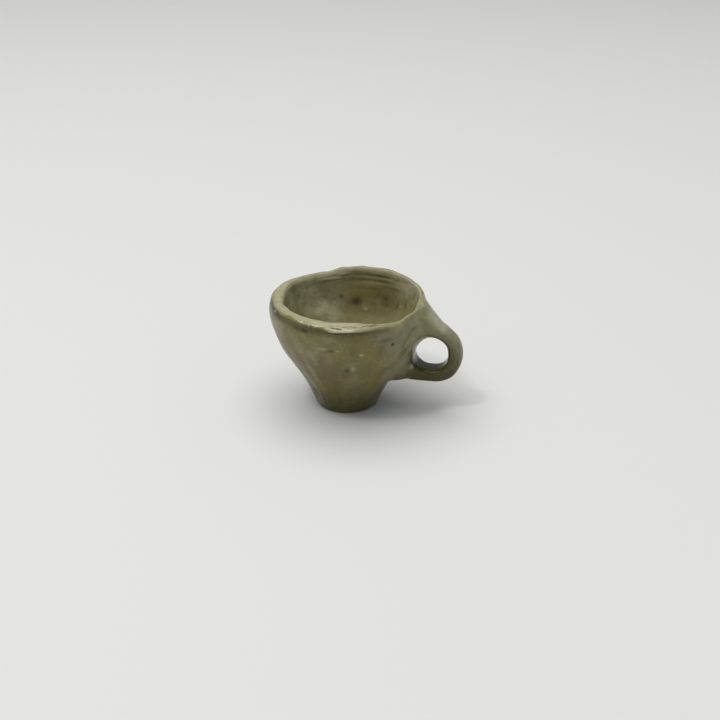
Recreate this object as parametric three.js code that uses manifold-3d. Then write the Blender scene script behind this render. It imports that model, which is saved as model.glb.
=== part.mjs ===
// A hand-pinched espresso cup in thick glazed clay. A narrow foot carries a flaring bowl, a rolled
// lip runs round the uneven mouth, and one broad handle with a round finger hole grows from the lip
// and comes back to the wall low down. Millimetres, +Z up. The origin is the centre of the foot's
// underside, and the handle lies along +X. Angles round the cup start at the handle and turn
// towards +Y.
import * as THREE from "three";
import { mergeVertices } from "three/addons/utils/BufferGeometryUtils.js";
import Module from "manifold-3d";

// Whole cup
const cupHeight = 47.5;
const bowlRadius = 32.2;
const slipGap = 0.3;

// Foot
const footRadius = 13.1;
const footHeight = 6;
const footRounding = 1.1;

// Bowl
const floorThickness = 4;
const floorFillet = 6;
const wallThickness = 4.6;

// Lip
const lipWidth = 5;
const lipHeight = 6.8;
const lipBulgeDrop = 4.4;
const lipLeanShare = 0.14;
const lipOverhang = 0.9;
const lipCrownExponent = 2.5;

// Handle, drawn round the centre of its finger hole, which stands off from the wall beside it at a
// share of the cup's height
const holeRadius = 6.9;
const holeStandoff = 2.1;
const holeHeightShare = 0.529;
const strapThickness = 5.5;
const strapDepth = 9.2;
const lowerRootSpread = 8;
const rimTuck = 1.2;
const handleSectionExponent = 2.3;

// Shares of cupHeight that the rim stands at, one each 30 degrees round from the handle
const rimHeightShares = [0.992, 1.006, 1.02, 1.028, 0.995, 0.997, 0.998, 1, 1.008, 1.012, 0.99, 0.976];
// Shares of lipWidth at the same places
const lipWidthShares = [0.7, 0.55, 0.6, 0.72, 0.9, 1.04, 1.2, 1.16, 1, 0.88, 0.68, 0.58];
// Shares of lipOverhang, by which the folded lip stands out over the wall, at the same places
const lipOverhangShares = [0, 0, 0, 0, 0, 0, 0.1, 0.25, 0.6, 1, 0.4, 0];
// Shares of bowlRadius at the same places
const bowlShares = [0.975, 0.985, 1, 1, 0.985, 0.998, 1, 1.005, 0.985, 0.975, 0.97, 0.97];
// Shares of footRadius at the same places
const footShares = [0.92, 0.96, 1, 1, 1, 1.01, 1, 1.01, 0.99, 0.95, 0.93, 0.91];
// Shares of the way from the foot's radius out to the bowl's widest, at equal steps up
const flareShares = [0, 0.105, 0.245, 0.39, 0.56, 0.725, 0.85, 0.94, 1];

// Stations of the handle: the angle round the finger hole in degrees, 90 being straight up, with
// the shares of strapThickness, of strapDepth, and of what fills the corner up to the lip or down
// to the wall, where the handle flares into them
const handleStations = [
  { turn: 180, strapShare: 1.05, depthShare: 1.6, upperShare: 0, lowerShare: 0 },
  { turn: 160, strapShare: 1.05, depthShare: 1.8, upperShare: 0.4, lowerShare: 0 },
  { turn: 136, strapShare: 1.05, depthShare: 1.9, upperShare: 0.8, lowerShare: 0 },
  { turn: 118, strapShare: 1.05, depthShare: 1.7, upperShare: 1.02, lowerShare: 0 },
  { turn: 104, strapShare: 1.05, depthShare: 1.48, upperShare: 1, lowerShare: 0 },
  { turn: 90, strapShare: 1.05, depthShare: 1.24, upperShare: 0.57, lowerShare: 0 },
  { turn: 76, strapShare: 1.05, depthShare: 1.08, upperShare: 0.14, lowerShare: 0 },
  { turn: 60, strapShare: 1.05, depthShare: 1, upperShare: 0, lowerShare: 0 },
  { turn: 30, strapShare: 1.04, depthShare: 0.96, upperShare: 0, lowerShare: 0 },
  { turn: 0, strapShare: 1.05, depthShare: 0.95, upperShare: 0, lowerShare: 0 },
  { turn: -30, strapShare: 1.09, depthShare: 0.97, upperShare: 0, lowerShare: 0 },
  { turn: -50, strapShare: 1.16, depthShare: 0.98, upperShare: 0, lowerShare: 0 },
  { turn: -70, strapShare: 1.09, depthShare: 0.99, upperShare: 0, lowerShare: 0 },
  { turn: -90, strapShare: 1.03, depthShare: 1, upperShare: 0, lowerShare: 0 },
  { turn: -108, strapShare: 1.03, depthShare: 1.04, upperShare: 0, lowerShare: 0.06 },
  { turn: -124, strapShare: 1.03, depthShare: 1.2, upperShare: 0, lowerShare: 0.22 },
  { turn: -140, strapShare: 1.03, depthShare: 1.45, upperShare: 0, lowerShare: 1 },
  { turn: -156, strapShare: 1.03, depthShare: 1.7, upperShare: 0, lowerShare: 1.2 },
  { turn: -168, strapShare: 1.03, depthShare: 1.72, upperShare: 0, lowerShare: 0.7 },
  { turn: -180, strapShare: 1.03, depthShare: 1.6, upperShare: 0, lowerShare: 0 },
];
// Turns of the hole at which the handle's two root wads meet its strap
const upperRootDegrees = 82;
const lowerRootDegrees = -110;

// Fineness
const stepsRound = 63;
const stepsUpWall = 10;
const stepsDownWall = 8;
const stepsInFillet = 4;
const stepsOverLip = 11;
const stepsInRounding = 3;
const stepsRoundSection = 16;
const degreesPerHandleStep = 7;

// Glaze: where it lies thin over an edge, plain on the wall, thick low down and on the handle
const glazeThin = 0x9d9878;
const glazePlain = 0x757152;
const glazeThick = 0x4f4b30;
const glazeHandle = 0x66664f;
const glazeRoughness = 0.42;

const fullTurn = 2 * Math.PI;
const { clamp, degToRad, euclideanModulo, lerp, radToDeg, smoothstep } = THREE.MathUtils;

// Catmull-Rom blend between b and c, with a and d as the neighbours beyond them
function blend(a, b, c, d, t) {
  const slopeIn = (c - a) / 2;
  const slopeOut = (d - b) / 2;
  const squared = t * t;
  const cubed = t * squared;
  return (
    (2 * cubed - 3 * squared + 1) * b +
    (cubed - 2 * squared + t) * slopeIn +
    (3 * squared - 2 * cubed) * c +
    (cubed - squared) * slopeOut
  );
}

// Smooth curve through equally spaced shares, with t from 0 at the first to 1 at the last
function along(shares, t) {
  const spans = shares.length - 1;
  const place = clamp(t, 0, 1) * spans;
  const i = Math.min(Math.floor(place), spans - 1);
  const at = (k) => shares[clamp(k, 0, spans)];
  return blend(at(i - 1), at(i), at(i + 1), at(i + 2), place - i);
}

// Smooth closed curve through shares that stand at equal angles round the cup
function around(shares, angle) {
  const count = shares.length;
  const place = (euclideanModulo(angle, fullTurn) / fullTurn) * count;
  const i = Math.floor(place);
  const at = (k) => shares[euclideanModulo(k, count)];
  return blend(at(i - 1), at(i), at(i + 1), at(i + 2), place - i);
}

const rimZ = (angle) => cupHeight * around(rimHeightShares, angle);
const bulgeAt = (angle) => bowlRadius * around(bowlShares, angle);
const mouthAt = (angle) => bulgeAt(angle) - lipWidth * around(lipWidthShares, angle);
const footAt = (angle) => footRadius * around(footShares, angle);
const jointZ = (angle) => rimZ(angle) - lipHeight;
const floorZ = footHeight + floorThickness;

// Outer radius of foot, bowl and lip at a height: from the lip's bulge upwards it stays the widest
function outerRadius(angle, z) {
  const share = z / (rimZ(angle) - lipBulgeDrop);
  return lerp(footAt(angle), bulgeAt(angle), along(flareShares, share));
}

// Inner radius of the bowl at a height: the wall thins or thickens up to the lip's own width
function innerRadius(angle, z) {
  const top = jointZ(angle);
  const lipWall = outerRadius(angle, top) - mouthAt(angle);
  const wall = lerp(wallThickness, lipWall, smoothstep(z, floorZ, top));
  return outerRadius(angle, z) - wall;
}

function pointAt(angle, radius, z) {
  return new THREE.Vector3(radius * Math.cos(angle), radius * Math.sin(angle), z);
}

// One ring of points round the cup, from the radius and height at each angle
function ring(radiusAt, heightAt) {
  return Array.from({ length: stepsRound }, (_, j) => {
    const angle = (j / stepsRound) * fullTurn;
    const z = heightAt(angle);
    return pointAt(angle, radiusAt(angle, z), z);
  });
}

// Closed solid through rings of equally many points. The first and last ring are closed by flat
// fans, or are joined to each other when looped.
function ringSolid(rings, looped = false) {
  const count = rings[0].length;
  const faces = [];
  const joins = looped ? rings.length : rings.length - 1;
  for (let i = 0; i < joins; i++) {
    const near = i * count;
    const far = ((i + 1) % rings.length) * count;
    for (let j = 0; j < count; j++) {
      const k = (j + 1) % count;
      faces.push(near + j, near + k, far + k, near + j, far + k, far + j);
    }
  }
  const last = (rings.length - 1) * count;
  for (let j = 1; !looped && j < count - 1; j++) {
    faces.push(0, j + 1, j, last, last + j, last + j + 1);
  }
  const geometry = new THREE.BufferGeometry().setFromPoints(rings.flat());
  geometry.setIndex(faces);
  return geometry;
}

const steps = (count) => Array.from({ length: count + 1 }, (_, i) => i / count);

// Foot: a thick pad with its bottom edge rounded over, ending flat under the bowl
function footGeometry() {
  const rounding = steps(stepsInRounding).map((t) => {
    const turn = (t * Math.PI) / 2;
    const inset = footRounding * (1 - Math.sin(turn));
    const z = footRounding * (1 - Math.cos(turn));
    return ring((angle) => outerRadius(angle, z) - inset, () => z);
  });
  const top = footHeight - slipGap;
  return ringSolid([...rounding, ring(outerRadius, () => top)]);
}

// Bowl: floor and pinched wall in one piece, open at the mouth
function bowlGeometry() {
  const outside = steps(stepsUpWall).map((t) =>
    ring(outerRadius, (angle) => lerp(footHeight, jointZ(angle), t)),
  );
  const filletTop = floorZ + floorFillet;
  const inside = steps(stepsDownWall).map((t) =>
    ring(innerRadius, (angle) => lerp(jointZ(angle), filletTop, t)),
  );
  const fillet = steps(stepsInFillet).slice(1).map((t) => {
    const turn = (t * Math.PI) / 2;
    const inset = floorFillet * (1 - Math.cos(turn));
    const z = filletTop - floorFillet * Math.sin(turn);
    return ring((angle) => innerRadius(angle, filletTop) - inset, () => z);
  });
  return ringSolid([...outside, ...inside, ...fillet]);
}

const lipOuterRadius = (angle, z) => outerRadius(angle, z) + lipOverhang * around(lipOverhangShares, angle);

// Ring of the lip's crown: t runs from 0 at the outer side over the top to 1 at the mouth. The crown
// leans outwards, starts a gap above the joint, and may be grown outwards by a clearance.
function lipRing(t, gap, clearance) {
  const swell = (x) => Math.sign(x) * Math.abs(x) ** (2 / lipCrownExponent);
  const outward = (1 + swell(Math.cos(t * Math.PI))) / 2;
  const rise = swell(Math.sin(t * Math.PI)) * (1 - lipLeanShare * outward);
  return ring(
    (angle, z) => lerp(mouthAt(angle), lipOuterRadius(angle, z) + clearance, outward),
    (angle) => lerp(jointZ(angle) + gap, rimZ(angle) + clearance, rise),
  );
}

// Lip: a roll of clay that hugs the wall's top
function lipGeometry() {
  return ringSolid(steps(stepsOverLip).map((t) => lipRing(t, slipGap, 0)), true);
}

// Foot, bowl and lip as one filled lump, larger all round by a clearance, to seat the handle against
function filledCup(clearance) {
  const grown = (angle, z) => outerRadius(angle, Math.max(z, 0)) + clearance;
  const side = steps(stepsUpWall).map((t) =>
    ring(grown, (angle) => lerp(-clearance, jointZ(angle), t)),
  );
  const crown = steps(stepsOverLip).slice(1).map((t) => lipRing(t / 2, 0, clearance));
  return ringSolid([...side, ...crown]);
}

const holeZ = cupHeight * holeHeightShare;
const holeX = outerRadius(0, holeZ) + holeStandoff + holeRadius;
const upperRootSpread = rimZ(0) - rimTuck - (holeZ + holeRadius + strapThickness);

// Thickness and depth of the handle at a turn round its hole, eased between the stations
function handleAt(turn) {
  const last = handleStations.length - 1;
  const passed = handleStations.filter((station) => station.turn >= turn).length;
  const i = clamp(passed - 1, 0, last - 1);
  const at = (k) => handleStations[clamp(k, 0, last)];
  const t = (at(i).turn - turn) / (at(i).turn - at(i + 1).turn);
  const eased = (key) => blend(at(i - 1)[key], at(i)[key], at(i + 1)[key], at(i + 2)[key], t);
  const strap = strapThickness * eased("strapShare");
  const filled = upperRootSpread * eased("upperShare") + lowerRootSpread * eased("lowerShare");
  return { thickness: strap + filled, depth: strapDepth * eased("depthShare") };
}

// The handle between two turns: rounded sections that stand outwards from the finger hole
function handleGeometry(fromTurn, toTurn) {
  const swell = (x) => Math.sign(x) * Math.abs(x) ** (2 / handleSectionExponent);
  const count = Math.ceil((fromTurn - toTurn) / degreesPerHandleStep);
  const rings = steps(count).map((t) => {
    const turn = lerp(fromTurn, toTurn, t);
    const outward = new THREE.Vector3(Math.cos(degToRad(turn)), 0, Math.sin(degToRad(turn)));
    const { thickness, depth } = handleAt(turn);
    const holeCentre = new THREE.Vector3(holeX, 0, holeZ);
    const middle = holeCentre.addScaledVector(outward, holeRadius + thickness / 2);
    return Array.from({ length: stepsRoundSection }, (_, j) => {
      const round = (j / stepsRoundSection) * fullTurn;
      const point = middle.clone().addScaledVector(outward, (thickness / 2) * swell(Math.cos(round)));
      point.y = (-depth / 2) * swell(Math.sin(round));
      return point;
    });
  });
  return ringSolid(rings);
}

const wasm = await Module();
wasm.setup();

function solidOf(geometry) {
  const merged = mergeVertices(geometry);
  return new wasm.Manifold(
    new wasm.Mesh({
      numProp: 3,
      vertProperties: merged.attributes.position.array,
      triVerts: new Uint32Array(merged.index.array),
    }),
  );
}

function geometryOf(solid) {
  const { vertProperties, triVerts } = solid.getMesh();
  const geometry = new THREE.BufferGeometry();
  geometry.setAttribute("position", new THREE.BufferAttribute(vertProperties, 3));
  geometry.setIndex(new THREE.BufferAttribute(triVerts, 1));
  return geometry;
}

// A turn of the handle moved on by half a slip gap, measured at the middle of its thickness
function besideTurn(turn, side) {
  const middleRadius = holeRadius + handleAt(turn).thickness / 2;
  return turn + side * radToDeg(slipGap / 2 / middleRadius);
}

// A root wad of the handle, between two turns, cut to seat on the cup
function rootGeometry(fromTurn, toTurn) {
  const wad = solidOf(handleGeometry(fromTurn, toTurn));
  return geometryOf(wad.subtract(solidOf(filledCup(slipGap))));
}

function piece(name, geometry, color) {
  const faceted = geometry.toNonIndexed();
  faceted.computeVertexNormals();
  const material = new THREE.MeshStandardMaterial({ color, roughness: glazeRoughness, metalness: 0 });
  const mesh = new THREE.Mesh(faceted, material);
  mesh.name = name;
  return mesh;
}

const cup = new THREE.Group();
cup.add(piece("foot", footGeometry(), glazeThick));
cup.add(piece("bowl", bowlGeometry(), glazePlain));
cup.add(piece("lip", lipGeometry(), glazeThin));

// The wads meet each other too, on the wall side of the hole
const firstTurn = besideTurn(handleStations[0].turn, -1);
const lastTurn = besideTurn(handleStations[handleStations.length - 1].turn, 1);
const upperRoot = rootGeometry(firstTurn, besideTurn(upperRootDegrees, 1));
const strap = handleGeometry(besideTurn(upperRootDegrees, -1), besideTurn(lowerRootDegrees, 1));
const lowerRoot = rootGeometry(besideTurn(lowerRootDegrees, -1), lastTurn);
const handle = new THREE.Group();
handle.add(piece("handle_upper_root", upperRoot, glazeHandle));
handle.add(piece("handle_strap", strap, glazeHandle));
handle.add(piece("handle_lower_root", lowerRoot, glazeHandle));
cup.add(handle);

export default cup;
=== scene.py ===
"""Hand-pinched espresso cup in thick olive glaze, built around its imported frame.

Lengths are in metres where nothing else is said. Angles round the cup start at the handle and turn
towards +Y.
"""

import math
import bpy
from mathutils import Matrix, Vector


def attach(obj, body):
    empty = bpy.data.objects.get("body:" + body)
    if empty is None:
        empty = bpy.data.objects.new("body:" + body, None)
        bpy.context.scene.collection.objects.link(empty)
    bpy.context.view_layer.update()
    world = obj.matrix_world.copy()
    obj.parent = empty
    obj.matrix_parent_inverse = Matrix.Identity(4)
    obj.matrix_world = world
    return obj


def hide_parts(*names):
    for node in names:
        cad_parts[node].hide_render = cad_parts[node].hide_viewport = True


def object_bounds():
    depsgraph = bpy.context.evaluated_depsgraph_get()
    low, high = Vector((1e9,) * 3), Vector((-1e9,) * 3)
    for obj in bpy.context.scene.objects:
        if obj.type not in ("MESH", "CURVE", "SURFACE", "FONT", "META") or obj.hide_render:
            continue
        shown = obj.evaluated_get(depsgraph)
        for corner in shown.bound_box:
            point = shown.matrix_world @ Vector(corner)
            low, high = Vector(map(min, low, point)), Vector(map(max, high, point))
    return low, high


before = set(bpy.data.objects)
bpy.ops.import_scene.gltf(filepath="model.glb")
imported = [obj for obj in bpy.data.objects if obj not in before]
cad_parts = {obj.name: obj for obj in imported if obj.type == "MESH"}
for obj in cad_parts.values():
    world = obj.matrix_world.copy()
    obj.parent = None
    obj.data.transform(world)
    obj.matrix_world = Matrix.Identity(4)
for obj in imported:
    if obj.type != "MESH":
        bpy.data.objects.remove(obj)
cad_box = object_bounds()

import types

import bpy
import numpy as np
from bpy.props import FloatProperty, FloatVectorProperty, PointerProperty
from bpy.types import Operator, Panel, PropertyGroup
from mathutils import Vector

bl_info = {
    "name": "Pinched Espresso Cup",
    "version": (1, 0, 0),
    "blender": (4, 5, 0),
    "location": "View3D > Sidebar > Espresso Cup",
    "description": "Builds a hand-pinched, glazed espresso cup piece by piece",
    "category": "Add Mesh",
}

BODY = "root"
FULL_TURN = 2 * math.pi

# Shares every 15 degrees round the cup, from the handle, of the rim's mean height
RIM_HEIGHT_SHARES = (0.992, 1.003, 1.012, 1.018, 1.017, 1.02, 1.026, 1.008, 0.984, 0.986, 1, 1.009,
                     1.006, 0.999, 1, 1.004, 1.008, 1.012, 1.012, 1.022, 1.001, 0.972, 0.976, 0.982)
# Shares every 30 degrees: of the lip's mean width, of the bowl's radius and of the foot's
LIP_WIDTH_SHARES = (0.7, 0.55, 0.6, 0.72, 0.9, 1.1, 1.34, 1.32, 1.08, 0.97, 0.7, 0.6)
BOWL_SHARES = (0.975, 0.985, 1, 1, 0.985, 0.998, 1, 1.005, 0.985, 0.975, 0.97, 0.97)
FOOT_SHARES = (0.92, 0.96, 1, 1, 1, 1.01, 1, 1.01, 0.99, 0.95, 0.93, 0.91)

# Shares every 15 degrees round the cup, from the handle: of how far the lip's folded edge lies under the rim
FOLD_DROP_SHARES = (0.3, 0.2, 0.15, 0.15, 0.15, 0.15, 0.15, 0.15, 0.15, 0.15, 0.18, 0.25,
                    0.3, 0.3, 0.28, 0.25, 0.31, 0.6, 0.74, 0.9, 0.5, 0.35, 0.32, 0.35)
# and of how far it stands out over the wall
FOLD_SHARES = (0, 0, 0, 0, 0.05, 0.1, 0.1, 0.1, 0.1, 0.1, 0.1, 0.1,
               0.12, 0.15, 0.2, 0.25, 0.35, 0.6, 0.9, 1, 0.6, 0.15, 0, 0)
# and of how pale its top is, from glaze breaking thin there and painted top light
PALE_SHARES = (0.2, 0.25, 0.3, 0.3, 0.35, 0.35, 0.4, 0.4, 0.45, 0.5, 0.6, 0.85,
               0.75, 0.65, 0.8, 0.85, 0.85, 0.8, 0.85, 0.85, 0.7, 0.35, 0.15, 0.15)

# Shares every 30 degrees round the finger hole, from the side away from the wall, of its radius
HOLE_SHARES = (0.95, 0.96, 0.98, 0.99, 0.97, 0.98, 1, 1.04, 1, 0.95, 1, 1.01)

# Shares of the way from the foot's radius out to the bowl's widest, at equal steps up
FLARE_SHARES = (0, 0.105, 0.245, 0.39, 0.56, 0.725, 0.85, 0.94, 1)

# Stations of the handle: degrees round the finger hole, 90 being straight up, then the shares of the
# strap's thickness, of its depth, and of what fills the corner up to the lip or down to the wall
HANDLE_STATIONS = (
    (-180, 1.04, 1.6, 0, 0),
    (-168, 1.03, 1.72, 0, 0.72),
    (-156, 1.03, 1.7, 0, 1.24),
    (-140, 1.03, 1.45, 0, 0.95),
    (-132, 1.03, 1.32, 0, 0.42),
    (-124, 1.03, 1.2, 0, 0.26),
    (-108, 1.03, 1.04, 0, 0.08),
    (-90, 1.03, 1, 0, 0),
    (-70, 1.09, 0.99, 0, 0),
    (-50, 1.16, 0.98, 0, 0),
    (-30, 1.09, 0.97, 0, 0),
    (0, 1.05, 0.95, 0, 0),
    (30, 1.04, 0.96, 0, 0),
    (60, 1.05, 1, 0, 0),
    (76, 1.05, 1.08, 0.14, 0),
    (90, 1.05, 1.24, 0.51, 0),
    (104, 1.05, 1.48, 0.97, 0),
    (118, 1.05, 1.7, 1.02, 0),
    (136, 1.05, 1.9, 0.8, 0),
    (160, 1.05, 1.8, 0.4, 0),
    (180, 1.04, 1.6, 0, 0),
)
HANDLE_TURNS, *HANDLE_SHARES = (np.array(column, float) for column in zip(*HANDLE_STATIONS))

# Exponents of the rounded sections: 2 is an ellipse, more is squarer
LIP_INNER_EXPONENT = 3.6
LIP_OUTER_EXPONENT = 1.9
LIP_FOLD_EXPONENT = 5
HANDLE_EXPONENT = 2.2
HOLE_LOW_EXPONENT = 3.8
HOLE_HIGH_EXPONENT = 2

# Level inside the handle under which its slope no longer grows
CORE_LEVEL = 0.2
# Share of the lip's blend by which the mouth is eased open
MOUTH_EASE_SHARE = 1 / 8
# The fold of the lip: where its taper starts, and how sharp and deep the groove under it is
FOLD_TAPER_START = 0.1
FOLD_GROOVE_SHARPNESS = 3
FOLD_GROOVE_DEPTH = 1 / 5
# Shares of the wall's thickness, in from outside, between which its inside turns to its outside
WALL_MIDDLE = (0.7, 0.3)


def size(default, description):
    return FloatProperty(description=description, default=default, min=0, unit="LENGTH", precision=5)


def share(default, description):
    return FloatProperty(description=description, default=default, min=0, max=1, subtype="FACTOR")


def colour(default, description):
    return FloatVectorProperty(
        description=description, default=default, size=3, min=0, max=1, subtype="COLOR"
    )


class CupSizes(PropertyGroup):
    height: size(0.0475, "Mean height of the rim")
    bowl_radius: size(0.0322, "Radius at the widest, just under the rim")
    foot_radius: size(0.0131, "Radius where the cup stands")
    foot_height: size(0.006, "Height of the solid foot")
    foot_rounding: size(0.0011, "Rounding of the foot's lower edge")
    floor_thickness: size(0.004, "Clay between the foot and the hollow")
    floor_fillet: size(0.006, "Rounding between floor and wall")
    wall_thickness: size(0.0046, "Clay wall near the floor")
    lip_width: size(0.005, "Mean width of the rolled lip")
    lip_height: size(0.0068, "Height of the rolled lip")
    lip_bulge_drop: size(0.0044, "How far under the rim the cup is widest")
    lip_blend: size(0.0024, "Rounding between the lip and the wall inside")
    fold_drop: size(0.0026, "How far the lip's folded edge lies under the rim at the most")
    fold_overhang: size(0.0017, "How far the folded edge stands out over the wall")
    fold_reach: size(0.0036, "How far down the wall the fold tapers away")
    hole_radius: size(0.0069, "Radius of the finger hole")
    hole_standoff: size(0.0021, "Clay between the wall and the finger hole")
    hole_height_share: share(0.529, "Height of the finger hole as a share of the cup's")
    strap_thickness: size(0.0055, "Thickness of the handle away from the hole")
    strap_depth: size(0.0092, "Depth of the handle along the finger hole")
    lower_root_spread: size(0.008, "How far the handle spreads down the wall")
    rim_tuck: size(0.0012, "How far under the rim the handle starts")
    web_fillet: size(0.004, "Rounding between the handle and the wall")
    upper_fillet: size(0.008, "The same over the finger hole")
    mesh_step: size(0.00042, "Spacing of the skin's points")


class GlazeColours(PropertyGroup):
    plain: colour((0.168, 0.149, 0.04), "Glaze on the wall")
    # Pale glaze where it breaks over edges; the same colour is laid as painted top light on the lip, a
    # painted highlight along its inner edge and painted highlights in patches
    thin: colour((0.40, 0.38, 0.24), "Glaze where it breaks over an edge")
    # Painted glints on the sharp creases of the lip
    crest: colour((0.72, 0.68, 0.49), "Glaze on the sharp creases of the lip")
    # Painted grey sheen and top light on the handle's web
    worn: colour((0.43, 0.42, 0.31), "Greyer pale glaze on top of the handle")
    bore: colour((0.065, 0.062, 0.012), "Glaze at the bottom of the finger hole")
    # Dark glaze where it lies thick; the same colour is laid as painted shade low on the cup, under the
    # handle, round the finger hole, under the lip's fold and in dents
    pooled: colour((0.045, 0.038, 0.007), "Glaze where it lies thick")
    cool: colour((0.205, 0.202, 0.105), "Greyer glaze in patches and on the handle")
    # Lighter than the wall, partly as painted light from above on the inside
    inside: colour((0.27, 0.25, 0.132), "Glaze inside")
    warm: colour((0.17, 0.125, 0.018), "Browner glaze in patches")
    clay: colour((0.50, 0.42, 0.32), "Bare fired clay under the foot")


class StudioSettings(PropertyGroup):
    floor_colour: colour((0.69, 0.695, 0.67), "Pale floor under the cup")
    floor_side: size(6.0, "Side of the square floor")


class CupSettings(PropertyGroup):
    sizes: PointerProperty(type=CupSizes)
    colours: PointerProperty(type=GlazeColours)
    studio: PointerProperty(type=StudioSettings)


def mix(a, b, t):
    return a + (b - a) * t


def ease(value, low, high):
    """A smooth step from 0 at low to 1 at high, which may be below low."""
    t = np.clip((value - low) / (high - low), 0, 1)
    return t * t * (3 - 2 * t)


def soft_min(a, b, reach):
    """The lower of two fields, filled out to a fillet where they are within reach of each other."""
    near = np.maximum(reach - np.abs(a - b), 0)
    return np.minimum(a, b) - near * near / (4 * reach)


def soft_max(a, b, reach):
    return -soft_min(-a, -b, reach)


def blend(a, b, c, d, t):
    """Catmull-Rom blend between b and c, with a and d as the neighbours beyond them."""
    return bent(b, c, (c - a) / 2, (d - b) / 2, t)


def bent(b, c, slope_in, slope_out, t):
    """Cubic from b to c that leaves and arrives at the given slopes."""
    square = t * t
    cube = t * square
    return (
        (2 * cube - 3 * square + 1) * b
        + (cube - 2 * square + t) * slope_in
        + (3 * square - 2 * cube) * c
        + (cube - square) * slope_out
    )


def around(shares, angle):
    """Smooth closed curve through shares that stand at equal angles round the cup."""
    shares = np.asarray(shares, float)
    count = len(shares)
    place = (angle % FULL_TURN) / FULL_TURN * count
    i = np.floor(place).astype(int)
    return blend(*(shares[(i + k) % count] for k in (-1, 0, 1, 2)), place - i)


def along(shares, place):
    """Smooth curve through shares, with place counted in steps from the first."""
    shares = np.asarray(shares, float)
    last = len(shares) - 1
    place = np.clip(place, 0, last)
    i = np.minimum(np.floor(place).astype(int), last - 1)
    return blend(*(shares[np.clip(i + k, 0, last)] for k in (-1, 0, 1, 2)), place - i)


def through(places, values, place):
    """Smooth curve through values that stand at uneven places."""
    values = np.asarray(values)
    slope = np.gradient(values, places)
    i = np.clip(np.searchsorted(places, place, side="right") - 1, 0, len(places) - 2)
    step = places[i + 1] - places[i]
    t = (place - places[i]) / step
    return bent(values[i], values[i + 1], slope[i] * step, slope[i + 1] * step, t)


class Waves:
    """Smooth random waves in space, from a seeded lattice that repeats."""

    SIDE = 16

    def __init__(self, seed):
        self.lattice = np.random.default_rng(seed).uniform(-1, 1, (self.SIDE,) * 3)

    def __call__(self, p, length):
        """Value from about -1 to 1 at each point, where length is the waves' length along each axis."""
        place = p / np.asarray(length)
        i = np.floor(place).astype(int)
        t = place - i
        t = t * t * t * (t * (6 * t - 15) + 10)
        near, far = i.T % self.SIDE, (i.T + 1) % self.SIDE
        tx, ty, tz = t.T
        lattice = self.lattice

        def strand(y, z):
            return mix(lattice[near[0], y, z], lattice[far[0], y, z], tx)

        def sheet(z):
            return mix(strand(near[1], z), strand(far[1], z), ty)

        return mix(sheet(near[2]), sheet(far[2]), tz)


def flare_share(rise):
    """How far out the wall leans at a share of the way up to the cup's widest place."""
    return along(FLARE_SHARES, rise * (len(FLARE_SHARES) - 1))


def cup_places(s, p):
    """Where each point lies against the cup's own surfaces: radii, heights and distances."""
    c = types.SimpleNamespace()
    x, y, c.z = p.T
    c.angle = np.arctan2(y, x)
    c.radius = np.hypot(x, y)
    c.hole_x, c.hole_z = hole_centre(s)
    c.reach = np.hypot(x - c.hole_x, c.z - c.hole_z)
    c.rim = s.height * around(RIM_HEIGHT_SHARES, c.angle)
    c.joint = c.rim - s.lip_height
    bulge = s.bowl_radius * around(BOWL_SHARES, c.angle)
    foot = s.foot_radius * around(FOOT_SHARES, c.angle)
    mouth = bulge - s.lip_width * around(LIP_WIDTH_SHARES, c.angle)

    def flared(z):
        return mix(foot, bulge, flare_share(z / (c.rim - s.lip_bulge_drop)))

    c.outer = flared(c.z)
    floor = s.foot_height + s.floor_thickness
    lip_wall = flared(c.joint) - mouth
    inner = c.outer - mix(s.wall_thickness, lip_wall, ease(c.z, floor, c.joint))
    c.inner = soft_min(inner, mouth + s.lip_blend * MOUTH_EASE_SHARE, s.lip_blend)
    c.drop = c.rim - c.z
    fold = s.fold_drop * around(FOLD_DROP_SHARES, c.angle)
    c.fold_share = around(FOLD_SHARES, c.angle)
    c.below_fold = c.drop - fold
    down_fold = c.below_fold / s.fold_reach
    taper = (1 - np.clip(down_fold - FOLD_TAPER_START, 0, 1)) ** 2
    groove = np.exp(-(((down_fold - 1) * FOLD_GROOVE_SHARPNESS) ** 2))
    outer_lip = c.outer + s.fold_overhang * c.fold_share * (taper - groove * FOLD_GROOVE_DEPTH)
    half = (outer_lip - c.inner) / 2
    c.across = (c.radius - c.inner) / half - 1
    outward = np.clip((c.across + 1) / 2, 0, 1)
    rise = np.maximum(c.z - c.joint, 0) / (s.lip_height - fold * outward)

    def crown(side, power):
        return ((np.maximum(side, 0) ** power + rise**power) ** (1 / power) - 1) * half

    above = c.z > c.joint
    outer_power = mix(LIP_OUTER_EXPONENT, LIP_FOLD_EXPONENT, np.clip(c.fold_share, 0, 1))
    c.filled = np.where(above, crown(c.across, outer_power), c.radius - outer_lip)
    c.hollow = np.where(above, crown(-c.across, LIP_INNER_EXPONENT), c.inner - c.radius)
    c.hollow = soft_min(c.hollow, c.z - floor, s.floor_fillet)
    return c


def hole_centre(s):
    """Distance of the finger hole's centre from the cup's axis, and its height."""
    z = s.height * s.hole_height_share
    rim = s.height * RIM_HEIGHT_SHARES[0]
    flare = float(flare_share(z / (rim - s.lip_bulge_drop)))
    wall = mix(s.foot_radius * FOOT_SHARES[0], s.bowl_radius * BOWL_SHARES[0], flare)
    return wall + s.hole_standoff + s.hole_radius, z


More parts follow.
